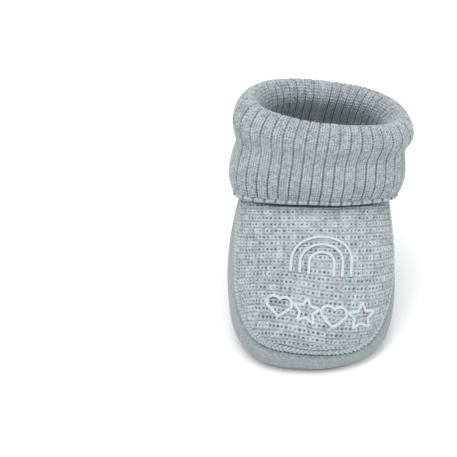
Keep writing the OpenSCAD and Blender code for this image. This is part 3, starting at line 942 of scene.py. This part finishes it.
panelSeam("frontPanelSeam", seams["frontPanelSeam"]["depth"], "front_panel_seam")
panelSeam("liningSeam", lining["depth"] + lining["thick"] / 2, "lining_seam")
ringAngles = np.arange(0, 360, 2.0)
ankleLine = ringPoint(np.broadcast_to(ankle, (180, 7)), ringAngles)
outward = unit(join(sinD(ringAngles), -cosD(ringAngles), 0.35))
makePlait("ankleSeam", ankleLine, outward, True, "ankle_seam")
backV = np.linspace(0.03, 0.97, 120)
backLine = liftedFrom(cuffCloth, 180 + 0 * backV, backV, -(rib["thick"] / 2 - 0.1 + cuffBillow(np.pi, backV)))
backUps = -normalOf(cuffSurface, 180 + 0 * backV, backV, 1, 0.004)
makePlait("cuffBackSeam", backLine, backUps, False, "cuff_back_seam")
heelV = np.linspace(0.2, 0.93, 40)
heelLine = liftedFrom(wrapCloth, 180 + 0 * heelV, heelV, 0.35)
makePlait("heelSeam", heelLine, normalOf(wrapSurface, 180 + 0 * heelV, heelV, 0.5, 0.01), False, "heel_seam")


hemRoll = {"perRib": 20, "sides": 16, "radius": 0.9, "loops": 0.14, "furrow": 0.2}


def makeHem():
    # the cast-off edge: a round roll with a loop of yarn on every wale
    n = rib["ribs"] * hemRoll["perRib"]
    a = evenAngles(n, lambda q: cuffSurface(q, 1 + 0 * q))[0]
    turn = 2 * np.pi * np.arange(n) / n
    path = cuffSurface(a, 1 + 0 * a) - [0, 0, foot["slot"] - 0.35]
    path = path + unit(join(sinD(a), -cosD(a), 0.0)) * cuffBillow(turn, 1 + 0 * turn)[:, None]

    def roll(i, angle):
        q = i / hemRoll["perRib"]
        loops = np.abs(np.sin(2 * np.pi * (q + 0.08 * np.sin(angle)))) ** 0.7
        furrow = bell(np.minimum(q % 1, 1 - q % 1) * rib["ribWide"], 0.5)
        r = hemRoll["radius"] + hemRoll["loops"] * loops - hemRoll["furrow"] * furrow
        return r * np.sin(angle), r * np.cos(angle)
    grid = tubeGrid(path, join(0 * a, 0 * a, 1 + 0 * a), hemRoll["sides"], True, roll)
    q = np.arange(n)[:, None] / hemRoll["perRib"] + 0 * np.arange(hemRoll["sides"])[None]
    # painted shade in the furrows between ribs and between the loops
    dark = bell(np.minimum(q % 1, 1 - q % 1) * rib["ribWide"], 0.5) * 0.6
    dark = dark + 0.35 * (1 - np.abs(np.sin(2 * np.pi * q)) ** 0.7)
    ob = tubesMesh("cuffHem", [grid], True, (1 - np.clip(dark, 0, 1)).ravel())
    return finishPiece(ob, "rib_knit", "cuff_hem")


makeHem()
print("seams and hem ready")

# The embroidery: satin stitch in a smooth thread, a rainbow over a row of hearts and stars.
satin = {
    "width": 1.2, "height": 0.66, "thread": 0.34, "slant": 0.45, "step": 0.12,
    "rainbowRight": 1.6, "rowRight": 2.6,  # mm right of the panel's middle
    "rainbow": 11.6, "between": 3.4, "foot": 33.0, "leg": 5.5,
    "row": 18.0, "pitch": 10.4, "motif": 9.6,
}


def archLine(r):
    a = np.radians(np.linspace(180, 0, 60))
    base, leg = satin["foot"], satin["leg"]
    x = satin["rainbowRight"]
    bow = np.stack([x + r * np.cos(a), base + leg + r * np.sin(a)], -1)
    return np.concatenate([[[x - r, base]], bow, [[x + r, base]]])


def heartLine(x, b):
    w = satin["motif"]
    r, c, up = 0.27 * w, 0.23 * w, b + 0.1 * w
    right, left = np.radians(np.linspace(-35, 148.4, 30)), np.radians(np.linspace(31.6, 215, 30))
    return np.concatenate([
        [[x, b - 0.44 * w], [x + 0.24 * w, b - 0.25 * w]],
        np.stack([x + c + r * np.cos(right), up + r * np.sin(right)], -1),
        np.stack([x - c + r * np.cos(left), up + r * np.sin(left)], -1)[1:],
        [[x - 0.24 * w, b - 0.25 * w]],
    ])


def starLine(x, b):
    k = np.arange(10)
    r = satin["motif"] / 1.9 * np.where(k % 2 == 0, 1, 0.5)
    return np.stack([x + r * sinD(36 * k), b + r * cosD(36 * k)], -1)


def stroke(line, closed):
    flat = evenPath(np.concatenate([line, 0 * line[:, :1]], 1), closed, satin["step"])
    x, b = flat[:, 0], flat[:, 1]
    t = b / frontLength
    edge = sideSeam(1 - np.clip(1 - t, 0, 1) ** 1.9)[..., 0]
    s = np.degrees(np.arcsin(x / edge)) / 90
    path = liftedFrom(frontCloth, s, t, 0.2 + panelBillow(x, b))
    ups = normalOf(frontSurface, s, t, 0.01, 0.01)

    def threads(i, angle):
        across, rise = np.sin(angle), np.cos(angle)
        where = (i * satin["step"] + satin["slant"] * across * satin["width"] / 2) / satin["thread"]
        thread = np.abs(np.sin(np.pi * where)) ** 0.6
        row = np.floor(where)
        wide = satin["width"] / 2 * (1 + 0.10 * (scatter(row, 0 * row, 81) - 0.5)) * (0.95 + 0.07 * thread)
        tall = satin["height"] / 2 * (0.9 + 0.18 * thread)
        return wide * signedPower(across, 0.85), tall * rise + 0.1
    angle = np.linspace(0, 2 * np.pi, 12, endpoint=False)[None]
    where = np.arange(len(path))[:, None] * satin["step"]
    where = where + satin["slant"] * np.sin(angle) * satin["width"] / 2
    thread = np.abs(np.sin(np.pi * where / satin["thread"])) ** 0.6
    # painted shade between the threads and on each stroke's underside
    cavity = (0.55 + 0.45 * thread) * (0.65 + 0.35 * soft(np.cos(angle) + 0.6))
    return tubeGrid(path, ups, 12, closed, threads), cavity.ravel()


def makeStitched(name, lines, closed, node):
    made = [stroke(line, closed) for line in lines]
    if closed:
        cavity = np.concatenate([c for _, c in made])
    else:
        cavity = np.concatenate([np.r_[c, 1, 1] for _, c in made])
    ob = tubesMesh(name, [g for g, _ in made], closed, cavity)
    return finishPiece(ob, "embroidery_thread", node)


makeStitched("embroideredRainbow", [archLine(satin["rainbow"] - satin["between"] * k) for k in range(3)],
             False, "embroidered_rainbow")


def inRow(line, *places):
    return [line(satin["rowRight"] + k * satin["pitch"], satin["row"]) for k in places]


makeStitched("embroideredHearts", inRow(heartLine, -1.5, 0.5), True, "embroidered_hearts")
makeStitched("embroideredStars", inRow(starLine, -0.5, 1.5), True, "embroidered_stars")
print("embroidery ready")

# A white sweep of floor, with large soft lights above and to the left.
studio = {
    "world": 0.80, "floor": 0.95, "size": 6.0,
    "lights": {
        "keyLight": {"at": (-0.7, -0.9, 1.5), "size": 1.3, "power": 11.5},
        "fillLight": {"at": (1.1, -0.8, 0.9), "size": 1.2, "power": 5.0},
        "topLight": {"at": (-0.1, 0.1, 1.7), "size": 1.2, "power": 9.5},
    },
}


def makeStudio():
    world = bpy.data.worlds.new("studio")
    scene.world = world
    world.use_nodes = True
    sky = world.node_tree.nodes["Background"]
    sky.inputs["Color"].default_value = (1, 1, 1, 1)
    sky.inputs["Strength"].default_value = studio["world"]
    bpy.ops.mesh.primitive_plane_add(size=studio["size"], location=(0, 0, -0.0005))
    floor = bpy.context.active_object
    floor.name = "floor"
    mat = bpy.data.materials.new("floor")
    mat.use_nodes = True
    shader = mat.node_tree.nodes["Principled BSDF"]
    shader.inputs["Base Color"].default_value = (studio["floor"],) * 3 + (1,)
    shader.inputs["Roughness"].default_value = 0.9
    shader.inputs["Specular IOR Level"].default_value = 0.1
    floor.data.materials.append(mat)
    for name, spec in studio["lights"].items():
        data = bpy.data.lights.new(name, "AREA")
        data.size, data.energy = spec["size"], spec["power"]
        lamp = bpy.data.objects.new(name, data)
        lamp.location = spec["at"]
        lamp.rotation_euler = (Vector((0, 0, 0.04)) - lamp.location).to_track_quat("-Z", "Y").to_euler()
        scene.collection.objects.link(lamp)
    scene.view_settings.view_transform = "Standard"


makeStudio()
print("done")
